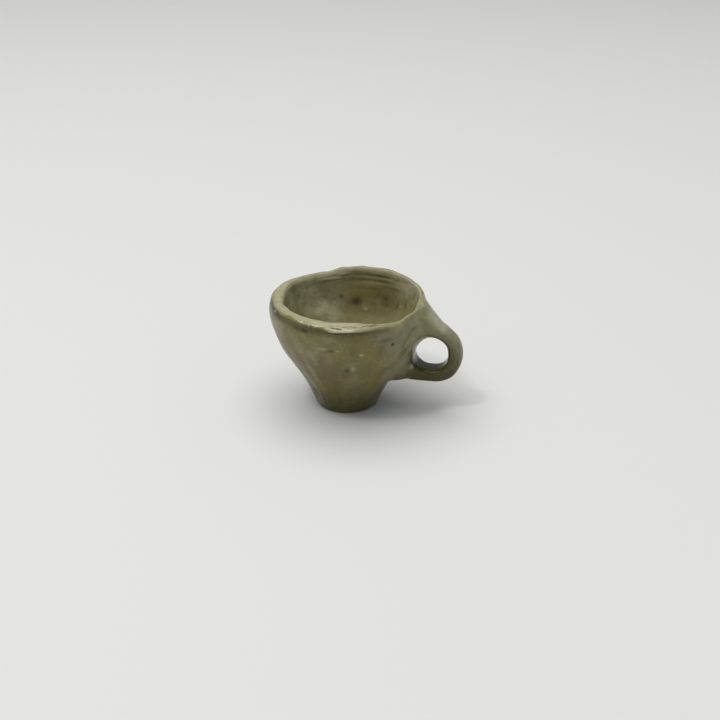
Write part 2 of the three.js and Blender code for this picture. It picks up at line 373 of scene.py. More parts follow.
def handle_field(s, p, c):
    """Distance to the handle: a ring of rounded sections round the finger hole."""
    x, y, z = p.T
    turn = np.degrees(np.arctan2(z - c.hole_z, x - c.hole_x))
    strap, deep, upper, lower = (through(HANDLE_TURNS, shares, turn) for shares in HANDLE_SHARES)
    upper_end = s.height * RIM_HEIGHT_SHARES[0] - s.rim_tuck
    upper_spread = upper_end - c.hole_z - s.hole_radius - s.strap_thickness
    thickness = s.strap_thickness * strap + upper_spread * upper + s.lower_root_spread * lower
    depth = s.strap_depth * deep
    inner_edge = s.hole_radius * around(HOLE_SHARES, np.radians(turn))
    thickness = s.hole_radius + thickness - inner_edge
    u = (c.reach - inner_edge - thickness / 2) / (thickness / 2)
    v = np.abs(y) / (depth / 2)
    high = ease(z - c.hole_z, -s.hole_radius / 2, s.hole_radius / 2)
    hole_power = mix(HOLE_LOW_EXPONENT, HOLE_HIGH_EXPONENT, high)
    power = np.where(u < 0, hole_power, HANDLE_EXPONENT)
    u = np.abs(u)
    level = (u**power + v**power) ** (1 / power)
    core = np.maximum(level, CORE_LEVEL)
    slope = np.hypot((u / core) ** (power - 1) / (thickness / 2), (v / core) ** (power - 1) / (depth / 2))
    ring = (level - 1) / np.maximum(slope, 1 / depth)
    buried = c.outer - s.wall_thickness / 2 - c.radius
    return np.maximum(ring, buried)


MM = 0.001
# Marks of hand and tool: degrees round the cup, then in millimetres height, half width, half height
# and how proud they stand
OUTER_MARKS = (
    (249, 43.6, 1.4, 1, -0.3), (268, 36.1, 2.6, 1.1, -0.4), (264, 40, 4, 2.4, 0.3),
    (315, 37, 0.8, 0.7, -0.5), (310, 40, 3, 1.4, -0.2), (305, 34.7, 1.2, 2.6, -0.2),
    (279, 25.7, 1.1, 1.4, -0.3), (284, 26.2, 1, 1.6, 0.2), (290, 34.2, 0.8, 0.6, 0.3),
    (258, 22.5, 3, 6, -0.3), (240, 25, 2, 9, -0.2), (249, 27, 1.6, 8, 0.2),
    (229, 9, 1.6, 4, -0.3), (300, 9, 5, 5, -0.4), (330, 8, 5, 7, 0.4),
)
INNER_MARKS = (
    (93, 33.6, 3.4, 2.2, -0.5), (84, 31.2, 1.8, 1.2, 0.3), (107, 35.7, 1, 2, -0.2),
    (46, 36.2, 1, 2, -0.2), (135, 30, 6, 5, 0.9), (116, 44, 4.5, 0.6, 0.25),
    (104, 45.6, 2.8, 0.5, 0.2), (73, 45, 8, 0.6, -0.25), (70, 42.8, 5, 0.8, -0.2),
)

# Patches of the glaze, laid out like the marks, with their strength at the end. Some pale patches are
# painted highlights, many on the marks' ridges, and some dark ones are painted shade in the marks' dents;
# the rest vary the glaze's own tone.
OUTER_PATCHES = {
    "pale": (
        (255, 34.5, 9, 6, 0.2), (262, 36.6, 2.2, 0.5, 0.7), (271, 36.2, 1.2, 0.4, 0.7),
        (290, 34.2, 0.6, 0.5, 1), (284, 26.6, 0.7, 1.2, 0.8), (347, 20.8, 0.8, 0.8, 0.9),
        (243, 24, 1.2, 8, 0.35), (252, 29, 1.2, 6, 0.35), (226, 6, 0.8, 3, 0.5),
        (219, 42.4, 4, 1.4, 0.4), (325, 44.2, 6, 2, 0.35), (340, 40, 5, 4, 0.25),
        (339, 28.5, 2.5, 4.5, 0.45), (246, 35, 5, 5, 0.25), (333, 19, 5, 6, 0.35),
        (357, 46.2, 3, 1.5, 0.6),
    ),
    "brown": (
        (238, 26, 13, 12, 0.9), (212, 30, 6, 12, 0.8), (300, 33, 4, 4, 0.4),
        (318, 19, 7, 6, 0.8),
    ),
    "grey": (
        (267, 40.5, 5, 2.2, 0.9), (315, 41.2, 7, 4, 0.8), (304, 41.5, 4, 2, 0.6),
        (292, 30, 6, 4, 0.4), (208, 45.7, 12, 1.8, 0.7),
    ),
    "dark": (
        (249, 43.8, 1.3, 0.9, 1), (268, 36, 1.6, 0.6, 0.6), (315, 37, 0.7, 0.7, 1),
        (308, 39.8, 3, 1, 0.5), (305, 34.7, 1.2, 2.6, 0.35), (279, 25.7, 1, 1.2, 0.8),
        (228, 8, 1.4, 4, 0.7), (240, 7, 0.7, 4, 0.6), (266, 8.5, 0.6, 5, 0.5),
        (222, 45.2, 12, 1.3, 0.5), (244, 44, 6, 1.2, 0.6), (210, 45.4, 8, 1.4, 0.6),
        (198, 45.5, 6, 1.6, 0.4), (212, 30, 4, 13, 0.6), (236, 25.5, 10, 7.5, 0.4),
        (272, 24, 9, 6, 0.25),
    ),
}
INNER_PATCHES = {
    "pale": (
        (128, 31.2, 5, 4.2, 1), (140, 40, 12, 6, 0.35), (116, 34.5, 6, 4, 0.3),
        (120, 27, 5, 4, 0.5), (150, 42.5, 6, 3, 0.5), (155, 38.5, 8, 5, 0.45),
        (172, 41.5, 5, 4, 0.5), (84, 31.1, 0.9, 0.6, 0.9), (116, 44.1, 4.5, 0.5, 0.7),
        (104, 45.7, 2.8, 0.4, 0.8), (62, 45.1, 0.6, 0.4, 1), (20, 43, 9, 4.5, 0.8),
        (30, 45.5, 6, 2.5, 0.8), (45, 43, 8, 4.5, 0.7), (150, 38, 4, 1, 0.4),
    ),
    "brown": ((90, 34, 16, 8, 0.5),),
    "grey": ((125, 36, 6, 6, 0.5),),
    "dark": (
        (93, 33.5, 2.2, 1.4, 0.5), (96, 32.5, 5, 3, 0.35), (70, 35, 8, 5, 0.55),
        (58, 36.5, 7, 4, 0.25), (107, 35.6, 0.8, 0.9, 1), (42, 36.7, 0.6, 1.6, 0.9),
        (52, 34.8, 0.7, 1.4, 0.5), (66, 36.3, 1.2, 1, 0.3), (73, 45, 8, 0.5, 0.5),
        (70, 43.2, 6, 0.6, 0.45), (60, 41, 6, 0.7, 0.5), (92, 43.2, 5, 0.6, 0.5),
    ),
}

# Creases where the lip was folded over: how proud they stand, then degrees and radius along them
CREASES = (
    (0.0003, (241, 0.0311), (247, 0.0313), (253, 0.0315)),
    (0.00025, (253, 0.0312), (257, 0.0314), (265, 0.031)),
    (0.0003, (267, 0.0305), (271, 0.0308), (275, 0.0313), (281, 0.0318)),
    (0.0003, (266, 0.0318), (271, 0.0322), (275, 0.0324), (281, 0.0325), (287, 0.0322)),
    (0.00016, (270, 0.0292), (278, 0.0298), (285, 0.0305), (290, 0.0311)),
    (0.00014, (288, 0.0308), (296, 0.0303), (303, 0.0296)),
)
CREASE_HALF_WIDTH = 0.0004
CREASE_REACH = 0.0034
CREASE_FADE = 0.0008
CREASE_TROUGH = 0.3
CREST_HEIGHT = 0.00025


def creased(p, c):
    """Height of the lip's creases at each point."""
    near = c.drop < CREASE_REACH
    flat = p[near, :2]
    height = 0
    for proud, *line in CREASES:
        places = [np.array([math.cos(math.radians(d)), math.sin(math.radians(d))]) * r for d, r in line]
        off = np.full(len(flat), np.inf)
        run = np.zeros(len(flat))
        for k, (start, stop) in enumerate(zip(places, places[1:])):
            step = stop - start
            share = np.clip((flat - start) @ step / (step @ step), 0, 1)
            away = np.linalg.norm(flat - start - share[:, None] * step, axis=1) / CREASE_HALF_WIDTH
            run = np.where(away < off, (k + share) / (len(places) - 1), run)
            off = np.minimum(off, away)
        fade = 1 - (2 * run - 1) ** 4
        height = height + proud * fade * (np.exp(-(off**2)) - CREASE_TROUGH * np.exp(-((off - 2) ** 2)))
    total = np.zeros(len(p))
    total[near] = height * ease(c.drop[near], CREASE_REACH, CREASE_REACH - CREASE_FADE)
    return total


def marked(marks, c):
    """Sum of soft-edged marks at each point, each as strong as its last number says."""
    total = 0
    for degrees, *lengths, strength in marks:
        height, half_width, half_height = (length * MM for length in lengths)
        turn = (c.angle - math.radians(degrees) + math.pi) % FULL_TURN - math.pi
        far = (turn * c.radius / half_width) ** 2 + ((c.z - height) / half_height) ** 2
        total = total + strength * np.exp(-far)
    return total


# Random relief of the clay: its height and the length of its waves
HEAVES = (0.00024, 0.013)
DENTS = (0.00019, 0.0062)
RIPPLES = (0.00006, 0.0026)
WRINKLES = (0.00009, (0.0045, 0.0045, 0.0012))
SCRAPES = (0.00012, (0.0043, 0.0043, 0.021))
RINGS = (0.0002, (0.016, 0.016, 0.0024))
RING_BREAKS = (1, (0.02, 0.01, 0.01))
# Where it sets in and where it is full
ON_CUP_FADE = (0.004, 0.001)
WRINKLE_DROPS = (0.003, 0.0015)
RING_HEIGHTS = (0.022, 0.036)
RING_DROPS = (0.0015, 0.004)
FOOT_FADE = (0.0005, 0.003)
# Scraped strokes are strongest round one angle, and fade in under the lip
SCRAPED_DEGREES = -118
SCRAPED_HALF_WIDTH = 35
SCRAPED_LEAST = 0.3
SCRAPED_FADE = 0.006
# Angles in radians between which the clay is smoother, and how much relief is left there
SMOOTH_MIDDLE = 1
SMOOTH_HALF_WIDTHS = (0.7, 1.5)
SMOOTH_SHARE = 0.4
HANDLE_RELIEF_SHARE = 0.5


def outside_share(s, c):
    """From 0 on the wall's inside to 1 on its outside."""
    return ease(c.radius, *(c.outer - s.wall_thickness * share for share in WALL_MIDDLE))


def relief(s, p, c, waves):
    """How far the clay stands proud of its plain form at each point."""

    def waved(kind, place):
        height, length = kind
        return height * waves(place, length)

    round_cup = np.column_stack([np.cos(c.angle), np.sin(c.angle)]) * s.bowl_radius
    turned = np.column_stack([round_cup, c.z])
    on_cup = ease(c.radius - c.outer, *ON_CUP_FADE)
    pinched = waved(HEAVES, p) + waved(DENTS, p[:, ::-1]) + waved(RIPPLES, p)
    pinched = pinched * mix(SMOOTH_SHARE, 1, ease(np.abs(c.angle - SMOOTH_MIDDLE), *SMOOTH_HALF_WIDTHS))
    pinched = pinched * mix(HANDLE_RELIEF_SHARE, 1, on_cup) * ease(c.z, *FOOT_FADE)
    across_lip = np.column_stack([round_cup, c.radius])
    wrinkled = waved(WRINKLES, across_lip) * ease(c.drop, *WRINKLE_DROPS)
    lower_left = np.exp(-(((np.degrees(c.angle) - SCRAPED_DEGREES) / SCRAPED_HALF_WIDTH) ** 2))
    scraped = waved(SCRAPES, turned) * mix(SCRAPED_LEAST, 1, lower_left)
    scraped = scraped * ease(c.drop, s.lip_height, s.lip_height + SCRAPED_FADE)
    ringed = waved(RINGS, turned) * waved(RING_BREAKS, turned[:, ::-1])
    ringed = ringed * ease(c.z, *RING_HEIGHTS) * ease(c.drop, *RING_DROPS)
    outer = (scraped + marked(OUTER_MARKS, c) * MM) * on_cup
    inner = ringed + marked(INNER_MARKS, c) * MM
    folded = (wrinkled + creased(p, c)) * on_cup
    return pinched + mix(inner, outer, outside_share(s, c)) + folded


# The handle's fillet widens over the finger hole: out and up from it, and down from the rim
UPPER_FILLET_OUT = 0.004
UPPER_FILLET_UP = 0.012
UPPER_FILLET_DROP = 0.011
# and narrows to a share between two heights under it
LOW_FILLET_SHARE = 0.6
LOW_FILLET_HEIGHTS = (0.011, 0.018)
# Reach of the blend at the foot's lower edge, as a share of its rounding
FOOT_BLEND_SHARE = 1.6


def skin_field(s, waves=None):
    """The whole cup's field: negative inside the clay, zero on its skin. It is smooth without waves."""

    def field(p):
        c = cup_places(s, p)
        high = ease(c.reach - s.hole_radius, 0, UPPER_FILLET_OUT) * ease(c.drop, 0, UPPER_FILLET_DROP)
        high = high * ease(c.z, c.hole_z, c.hole_z + UPPER_FILLET_UP)
        low_fillet = s.web_fillet * mix(LOW_FILLET_SHARE, 1, ease(c.z, *LOW_FILLET_HEIGHTS))
        fillet = mix(low_fillet, s.upper_fillet, high)
        solid = soft_min(c.filled, handle_field(s, p, c), fillet)
        solid = np.maximum(solid, c.hollow)
        if waves:
            solid = solid - relief(s, p, c, waves)
        return soft_max(solid, -c.z, s.foot_rounding * FOOT_BLEND_SHARE)

    return field


def slopes(field, p, value=None, step=2e-5):
    """Gradient of a field at each point, where value is the field there if it is known."""
    shifts = np.eye(3) * step
    if value is None:
        return np.column_stack([field(p + shift) - field(p - shift) for shift in shifts]) / (2 * step)
    return np.column_stack([field(p + shift) - value for shift in shifts]) / step


# Least square of a slope by which points are moved
LEAST_STEEPNESS = 0.05
# How far points go towards the middle of their neighbours
RELAX_SHARE = 0.6
# Share of an edge within which a point is moved onto a joint
SNAP_SHARE = 0.25


def seat(field, p, rounds):
    """Points moved along the field's slope onto its surface."""
    for _ in range(rounds):
        value = field(p)
        slope = slopes(field, p, value)
        steepness = np.maximum((slope * slope).sum(1), LEAST_STEEPNESS)
        p = p - slope * (value / steepness)[:, None]
    return p


CORNERS = np.array(list(np.ndindex(2, 2, 2)))


def shifted(grid, corner):
    """View of a grid of points that lines each cell up with one of its corners."""
    return grid[tuple(slice(c, c + n - 1) for c, n in zip(corner, grid.shape))]


def sampled(field, low, counts, spacing, coarse=4, band=2, batches=8):
    """Field values on a grid, worked out only near the surface: elsewhere just inside or outside."""
    rough_counts = counts // coarse + 2
    rough = np.stack(np.meshgrid(*map(np.arange, rough_counts), indexing="ij"), -1)
    values = field(low + rough.reshape(-1, 3) * spacing * coarse).reshape(rough_counts)
    close = np.abs(values) < band * spacing * coarse
    close = np.logical_or.reduce([shifted(close, corner) for corner in CORNERS])

    def spread(cells):
        for axis in range(3):
            cells = cells.repeat(coarse, axis)
        return cells[tuple(map(slice, counts))]

    grid = np.where(spread(shifted(values, (0, 0, 0)) < 0), -spacing, spacing)
    for part in np.array_split(np.argwhere(spread(close)), batches):
        grid[tuple(part.T)] = field(low + part * spacing)
    return grid


def unpinched(grid):
    """A grid in which no face has corners that alternate in sign, because they would pinch the skin."""
    for axis in range(3):
        u, v = np.delete(np.eye(3, dtype=int), axis, 0)
        ring = np.stack([0 * u, u, u + v, v])
        a, b, c, d = (shifted(grid < 0, corner) for corner in ring)
        for cell in np.argwhere((a == c) & (b == d) & (a != b)):
            corners = cell + ring
            values = grid[tuple(corners.T)]
            shallowest = tuple(corners[np.argmin(np.where(values > 0, values, np.inf))])
            grid[shallowest] = -grid[shallowest]
    return grid


def wrapped(field, low, high, spacing):
    """Points and quads over a field's surface, with one point in each grid cell that it crosses."""
    counts = np.ceil(np.subtract(high, low) / spacing).astype(int) + 1
    grid = unpinched(sampled(field, np.array(low), counts, spacing))
    inside = grid < 0
    first = shifted(inside, CORNERS[0])
    crossed = np.logical_or.reduce([shifted(inside, corner) != first for corner in CORNERS[1:]])
    cells = np.argwhere(crossed)
    number = np.full(crossed.shape, -1)
    number[tuple(cells.T)] = np.arange(len(cells))

    total = np.zeros((len(cells), 3))
    hits = np.zeros((len(cells), 1))
    quads = []
    for axis, ahead in enumerate(np.eye(3, dtype=int)):
        for corner in CORNERS[CORNERS[:, axis] == 0]:
            near = grid[tuple((cells + corner).T)]
            far = grid[tuple((cells + corner + ahead).T)]
            cut = ((near < 0) != (far < 0))[:, None]
            t = (near / np.where(near == far, 1, near - far))[:, None]
            total += np.where(cut, corner + ahead * t, 0)
            hits += cut
        u, v = np.delete(np.eye(3, dtype=int), axis, 0)
        here = inside[tuple(slice(0, n - e) for n, e in zip(counts, ahead))]
        there = inside[tuple(slice(e, n) for n, e in zip(counts, ahead))]
        edges = np.argwhere(here != there)
        ring = np.stack([number[tuple((edges - step).T)] for step in (0 * u, u, u + v, v)], 1)
        turned = here[tuple(edges.T)] == (axis == 1)
        ring[turned] = ring[turned][:, ::-1]
        quads.append(ring)
    return low + (cells + total / hits) * spacing, np.concatenate(quads)


def relaxed(field, points, quads, rounds):
    """Points evened out over the field's surface."""
    for _ in range(rounds):
        total = np.zeros_like(points)
        for step in (1, 3):
            np.add.at(total, quads, points[np.roll(quads, step, 1)])
        hits = 2 * np.bincount(quads.ravel(), minlength=len(points))
        points = seat(field, mix(points, total / hits[:, None], RELAX_SHARE), 1)
    return points


class Shell:
    """A closed surface of triangles, with a normal at each point and whether it lies on a joint."""

    def __init__(self, points, normals, seam, faces):
        self.points, self.normals, self.seam, self.faces = points, normals, seam, faces

    def tidy(self):
        """The same shell without the points that no face uses."""
        used, faces = np.unique(self.faces, return_inverse=True)
        return Shell(self.points[used], self.normals[used], self.seam[used], faces.reshape(-1, 3))


def loops_of(faces):
    """Open edges of some faces, chained into loops of points."""
    known = directed(faces)
    onward = {a: b for a, b in known if (b, a) not in known}
    loops = []
    while onward:
        start, here = onward.popitem()
        loop = [start]
        while here != start:
            loop.append(here)
            here = onward.pop(here)
        loops.append(loop)
    return loops


def directed(faces):
    """Every edge of some faces with its direction."""
    return {edge for k in range(3) for edge in zip(faces[:, k].tolist(), faces[:, (k + 1) % 3].tolist())}


def turned_to_start(points, loop):
    """A loop's points and rising angles round the cup's axis, closed with its first point a full turn on."""
    angle = np.unwrap(np.arctan2(points[loop, 1], points[loop, 0]))
    if angle[-1] < angle[0]:
        loop, angle = loop[::-1], angle[::-1]
    start = int(np.argmin(np.abs(np.angle(np.exp(1j * angle)))))
    loop = loop[start:] + loop[:start]
    angle = np.unwrap(np.arctan2(points[loop, 1], points[loop, 0]))
    return loop + loop[:1], np.append(angle, angle[0] + FULL_TURN)


def band_between(points, outer, inner):
    """Faces across the ring between two loops."""
    outer, outer_angle = turned_to_start(points, outer)
    inner, inner_angle = turned_to_start(points, inner)
    faces = []
    i = j = 0
    while i < len(outer) - 1 or j < len(inner) - 1:
        step_out = j == len(inner) - 1 or (i < len(outer) - 1 and outer_angle[i + 1] < inner_angle[j + 1])
        if step_out:
            faces.append((outer[i], outer[i + 1], inner[j]))
            i += 1
        else:
            faces.append((outer[i], inner[j + 1], inner[j]))
            j += 1
    return faces


def split(shell, level):
    """Two closed shells: where level is below zero and where it is above, both filled across the cut."""
    points, normals = shell.points.copy(), shell.normals
    value = level(points)
    edges = np.concatenate([shell.faces[:, [k, (k + 1) % 3]] for k in range(3)])
    edges = np.unique(np.sort(edges, 1), axis=0)
    # A point that lies close to the cut along an edge is moved onto it, unless it is on an earlier joint
    for near, far in (edges.T, edges.T[::-1]):
        crossing = (value[near] * value[far] < 0) & ~shell.seam[near]
        near, far = near[crossing], far[crossing]
        t = value[near] / (value[near] - value[far])
        close = t < SNAP_SHARE
        near, far, t = near[close], far[close], t[close]
        near, pick = np.unique(near, return_index=True)
        points[near] = mix(shell.points[near], shell.points[far[pick]], t[pick, None])
        value[near] = 0
    crossing = value[edges[:, 0]] * value[edges[:, 1]] < 0
    near, far = edges[crossing].T
    t = (value[near] / (value[near] - value[far]))[:, None]
    count = len(points)
    middle = {(a, b): count + k for k, (a, b) in enumerate(zip(near.tolist(), far.tolist()))}
    new_normals = mix(normals[near], normals[far], t)
    new_normals /= np.linalg.norm(new_normals, axis=1)[:, None]
    points = np.concatenate([points, mix(points[near], points[far], t)])
    normals = np.concatenate([normals, new_normals])
    seam = np.concatenate([shell.seam | (value == 0), np.full(len(t), True)])
    sides = np.sign(value)[shell.faces]
    mixed = (sides.min(1) < 0) & (sides.max(1) > 0)
    whole = shell.faces[~mixed]
    low = list(map(tuple, whole[sides[~mixed].sum(1) < 0].tolist()))
    high = list(map(tuple, whole[sides[~mixed].sum(1) >= 0].tolist()))
    for face, side in zip(shell.faces[mixed].tolist(), sides[mixed].tolist()):
        below, above = [], []
        for k in range(3):
            a, b = face[k], face[(k + 1) % 3]
            if side[k] <= 0:
                below.append(a)
            if side[k] >= 0:
                above.append(a)
            cut = middle.get((min(a, b), max(a, b)))
            if cut is not None:
                below.append(cut)
                above.append(cut)
        for corners, faces in ((below, low), (above, high)):
            faces.extend((corners[0], corners[k], corners[k + 1]) for k in range(1, len(corners) - 1))
    low, high = np.array(low), np.array(high)
    loops = sorted(loops_of(low), key=lambda loop: -np.ptp(points[loop], axis=0).max())
    if len(loops) == 1:
        centre = points[loops[0]].mean(0)
        points = np.vstack([points, centre])
        normals = np.vstack([normals, normals[loops[0]].mean(0)])
        seam = np.append(seam, True)
        rim = loops[0][::-1]
        cap = [(a, b, len(points) - 1) for a, b in zip(rim, rim[1:] + rim[:1])]
    elif len(loops) == 2:
        cap = band_between(points, *loops)
    else:
        raise RuntimeError(f"a joint crosses the skin in {len(loops)} loops, and it has to be one or two")
    cap = np.array(cap)
    if directed(cap) & directed(low):
        cap = cap[:, ::-1]
    return (
        Shell(points, normals, seam, np.concatenate([low, cap])).tidy(),
        Shell(points, normals, seam, np.concatenate([high, cap[:, ::-1]])).tidy(),
    )


WAVES_SEED = 11
# Steps of the grid beyond the CAD box, below and above
STEPS_BELOW = 4
STEPS_ABOVE = 5
# How far the handle's piece spreads, as shares of its fillet and of the wall's thickness
JOINT_FILLET_SHARE = 0.3
JOINT_WALL_SHARE = 1 / 4

made = {}


def clay_parts(s):
    """The cup's four clay parts as closed shells that share one unbroken outside, made once."""
    if made:
        return made
    plain = skin_field(s)
    field = skin_field(s, Waves(WAVES_SEED))
    low = [k - STEPS_BELOW * s.mesh_step for k in cad_box[0]]
    high = [k + STEPS_ABOVE * s.mesh_step for k in cad_box[1]]
    points, quads = wrapped(plain, low, high, s.mesh_step)
    points = relaxed(plain, points, quads, 3)
    points = relaxed(field, seat(field, points, 1), quads, 1)
    points = seat(field, points, 1)
    normals = slopes(field, points)
    normals /= np.linalg.norm(normals, axis=1)[:, None]
    faces = np.concatenate([quads[:, [0, 1, 2]], quads[:, [0, 2, 3]]])
    whole = Shell(points, normals, np.full(len(points), False), faces)

    def handle_side(p):
        """Above zero on the handle and a little of its fillet, and never on the cup's inside."""
        c = cup_places(s, p)
        near = s.web_fillet * JOINT_FILLET_SHARE - handle_field(s, p, c)
        return np.minimum(near, c.radius - c.outer + s.wall_thickness * JOINT_WALL_SHARE)

    cup, handle = split(whole, handle_side)
    cup, lip = split(cup, lambda p: p[:, 2] - cup_places(s, p).joint)
    foot, bowl = split(cup, lambda p: p[:, 2] - s.foot_height)
    made.update(foot=foot, bowl=bowl, lip=lip, handle=handle, field=field)
    return made


# Distance over which the bend of the skin is measured
BEND_REACH = 0.0006
# Middle and half width of the painted highlight along the lip's inner edge
INNER_LINE_PLACE = 0.00048
INNER_LINE_HALF_WIDTH = 0.0004


def masks(s, shell, field):
    """What the glaze does at each point, and where light and shade are painted on it, from 0 to 1. Distances
    are in metres and turns in degrees.
    """
    p = shell.points
    c = cup_places(s, p)
    from_hole = c.reach - s.hole_radius
    handle_side = p[:, 0] > 0
    outside = outside_share(s, c)
    patches = {
        name: np.clip(mix(marked(INNER_PATCHES[name], c), marked(OUTER_PATCHES[name], c), outside), 0, 1)
        for name in OUTER_PATCHES
    }
    turn = np.degrees(np.abs(c.angle))
    beyond = c.radius - c.outer
    up = shell.normals[:, 2]
    bend = sum(field(p + shift) + field(p - shift) for shift in np.eye(3) * BEND_REACH) - 6 * field(p)
    bend = bend / BEND_REACH**2
    inner_part = mix(ease(c.across, 0.55, 0.2), 1, ease(c.fold_share, 0.2, 0.5))
    on_top = ease(up, 0.55, 0.9) * ease(c.drop, 0.0042, 0.002)
    inner_edge_highlight = np.exp(-(((c.radius - c.inner - INNER_LINE_PLACE) / INNER_LINE_HALF_WIDTH) ** 2))
    # Painted shadow under the lip's folded edge
    fold_shadow = c.fold_share * ease(c.below_fold, 0, 0.001) * ease(c.below_fold, 0.0041, 0.0018)
    beside_handle = ease(turn, 65, 25) * ease(beyond, -0.003, -0.001)
    on_web = ease(beyond, 0, 0.003) * ease(beyond, 0.014, 0.008)
    low_on_ring = ease(p[:, 2] - c.hole_z, 0.007, -0.003)
    ring_side = handle_side * mix(0.1, 1, ease(beyond, 0, 0.003))
    return {
        **patches,
        "edge": ease(bend, 500, 1300) * mix(0.3, 1, ease(turn, 30, 75)),
        "hollow": ease(-bend, 250, 1000),
        # Pale top of the lip: glaze breaking thin there and painted light from above on its upward faces
        "lip_top_break_and_light": on_top * around(PALE_SHARES, c.angle) * inner_part,
        # Painted glints along the lip's creases
        "crest": np.clip(creased(p, c) / CREST_HEIGHT, 0, 1) ** 2 * outside,
        # Painted highlight along the lip's inner edge
        "inner_edge_highlight": inner_edge_highlight * ease(c.drop, 0.0022, 0.0008),
        "fold_shadow": fold_shadow * (up < 0.5),
        "inside": ease(-beyond, 0.001, 0.003) * ease(c.z, s.foot_height, s.foot_height + 0.002),
        "handle": np.maximum(ease(beyond, 0.0005, 0.006), 0.8 * beside_handle),
        # Painted sheen and top light on the upward faces of the handle's web
        "web_top_light": on_web * ease(up, 0.1, 0.75) * ease(c.z, 0.026, 0.034),
        "bore": ease(from_hole, 0.0022, 0.0005) * handle_side,
        # Painted shade round the finger hole, strongest low on the ring and on the handle's side
        "hole_shade": ease(from_hole, 0.0065, 0.0015) * mix(0.35, 1, low_on_ring) * ring_side,
    }


# How much longer wiped textures are round the cup than across
SWEEP_STRETCH = 4


def swept(s, p):
    """Place of each point for textures that were wiped round the lip and up the wall."""
    radius = np.hypot(p[:, 0], p[:, 1])
    around_it = p[:, :2] / radius[:, None] * s.bowl_radius / SWEEP_STRETCH
    return np.column_stack([around_it, radius + p[:, 2]])


def add_piece(name, shell, s, field, material):
    mesh = bpy.data.meshes.new(name)
    mesh.from_pydata(shell.points.tolist(), [], shell.faces.tolist())
    mesh.shade_smooth()
    mesh.normals_split_custom_set_from_vertices(shell.normals.tolist())
    for mask, values in masks(s, shell, field).items():
        attribute = mesh.attributes.new(mask, "FLOAT", "POINT")
        attribute.data.foreach_set("value", np.asarray(values, np.float32))
    sweep = mesh.attributes.new("sweep", "FLOAT_VECTOR", "POINT")
    sweep.data.foreach_set("vector", swept(s, shell.points).astype(np.float32).ravel())
    mesh.materials.append(material)
    piece = bpy.data.objects.new(name, mesh)
    bpy.context.scene.collection.objects.link(piece)
    return piece


class Nodes:
    """Shader nodes of one tree. Each input is a number, a colour or another node's socket."""

    def __init__(self, tree):
        self.tree = tree

    def feed(self, socket, value):
        if isinstance(value, bpy.types.NodeSocket):
            self.tree.links.new(value, socket)
        elif socket.type == "RGBA":
            socket.default_value = (*value, 1)
        else:
            socket.default_value = value

    def add(self, kind, **inputs):
        node = self.tree.nodes.new(kind)
        for name, value in inputs.items():
            self.feed(node.inputs[name.replace("_", " ")], value)
        return node

    def place(self):
        return self.add("ShaderNodeTexCoord").outputs["Object"]

    def noise(self, place, scale, detail=3.0, roughness=0.6):
        node = self.add("ShaderNodeTexNoise", Vector=place, Scale=scale, Detail=detail, Roughness=roughness)
        return node.outputs["Fac"]

    def attribute(self, name):
        node = self.add("ShaderNodeAttribute")
        node.attribute_name = name
        return node

    def mask(self, name):
        """One of the masks that lie on the mesh."""
        return self.attribute(name).outputs["Fac"]

    def math(self, operation, *values, clamp=False):
        node = self.add("ShaderNodeMath")
        node.operation = operation
        node.use_clamp = clamp
        for socket, value in zip(node.inputs, values):
            self.feed(socket, value)
        return node.outputs["Value"]

    def chain(self, operation, first, *others):
        for other in others:
            first = self.math(operation, first, other)
        return first

    def times(self, *values):
        return self.chain("MULTIPLY", *values)

    def most(self, *values):
        return self.chain("MAXIMUM", *values)

    def rest(self, value):
        """What a value leaves of 1."""
        return self.math("SUBTRACT", 1, value)

    def step(self, value, low, high):
        """0 to 1 as a value goes from low to high, which may be below low."""
        node = self.add("ShaderNodeMapRange", Value=value, From_Min=low, From_Max=high)
        node.interpolation_type = "SMOOTHSTEP"
        return node.outputs["Result"]

    def laid(self, colour, under, amount, blend_type="MIX"):
        """A colour laid over the one under it, as far as amount says."""
        node = self.add("ShaderNodeMix")
        node.data_type = "RGBA"
        node.blend_type = blend_type
        sockets = {socket.identifier: socket for socket in node.inputs}
        self.feed(sockets["Factor_Float"], amount)
        self.feed(sockets["A_Color"], under)
        self.feed(sockets["B_Color"], colour)
        return next(socket for socket in node.outputs if socket.identifier == "Result_Color")

    def grain(self, scale, low, high):
        """The fired grain group placed in this tree."""
        node = self.tree.nodes.new("ShaderNodeGroup")
        node.node_tree = fired_grain()
        for name, value in (("Scale", scale), ("Low", low), ("High", high)):
            self.feed(node.inputs[name], value)
        return node.outputs


def fired_grain():
    """Node group: the grain of fired clay and glaze, as a height and as a mask between two levels of it."""
    group = bpy.data.node_groups.get("fired_grain")
    if group:
        return group
    group = bpy.data.node_groups.new("fired_grain", "ShaderNodeTree")
    for name, default in (("Scale", 900.0), ("Low", 0.4), ("High", 0.6)):
        socket = group.interface.new_socket(name, in_out="INPUT", socket_type="NodeSocketFloat")
        socket.default_value = default
    for name in ("Height", "Mask"):
        group.interface.new_socket(name, in_out="OUTPUT", socket_type="NodeSocketFloat")
    nodes = Nodes(group)
    given = nodes.add("NodeGroupInput").outputs
    result = nodes.add("NodeGroupOutput").inputs
    height = nodes.noise(nodes.place(), given["Scale"])
    nodes.feed(result["Height"], height)
    nodes.feed(result["Mask"], nodes.step(height, given["Low"], given["High"]))
    return group


def new_material(name):
    """A material with its Principled shader and a builder for the nodes that feed it."""
    material = bpy.data.materials.new(name)
    material.use_nodes = True
    return material, material.node_tree.nodes["Principled BSDF"], Nodes(material.node_tree)


MOTTLE_LIGHT = (0.62, 0.62, 0.6)
MOTTLE_DARK = (0.36, 0.36, 0.34)
GLAZE_SPECULAR = 0.34
MATT_ROUGHNESS = 0.9
BUMP_HEIGHT = 0.0002


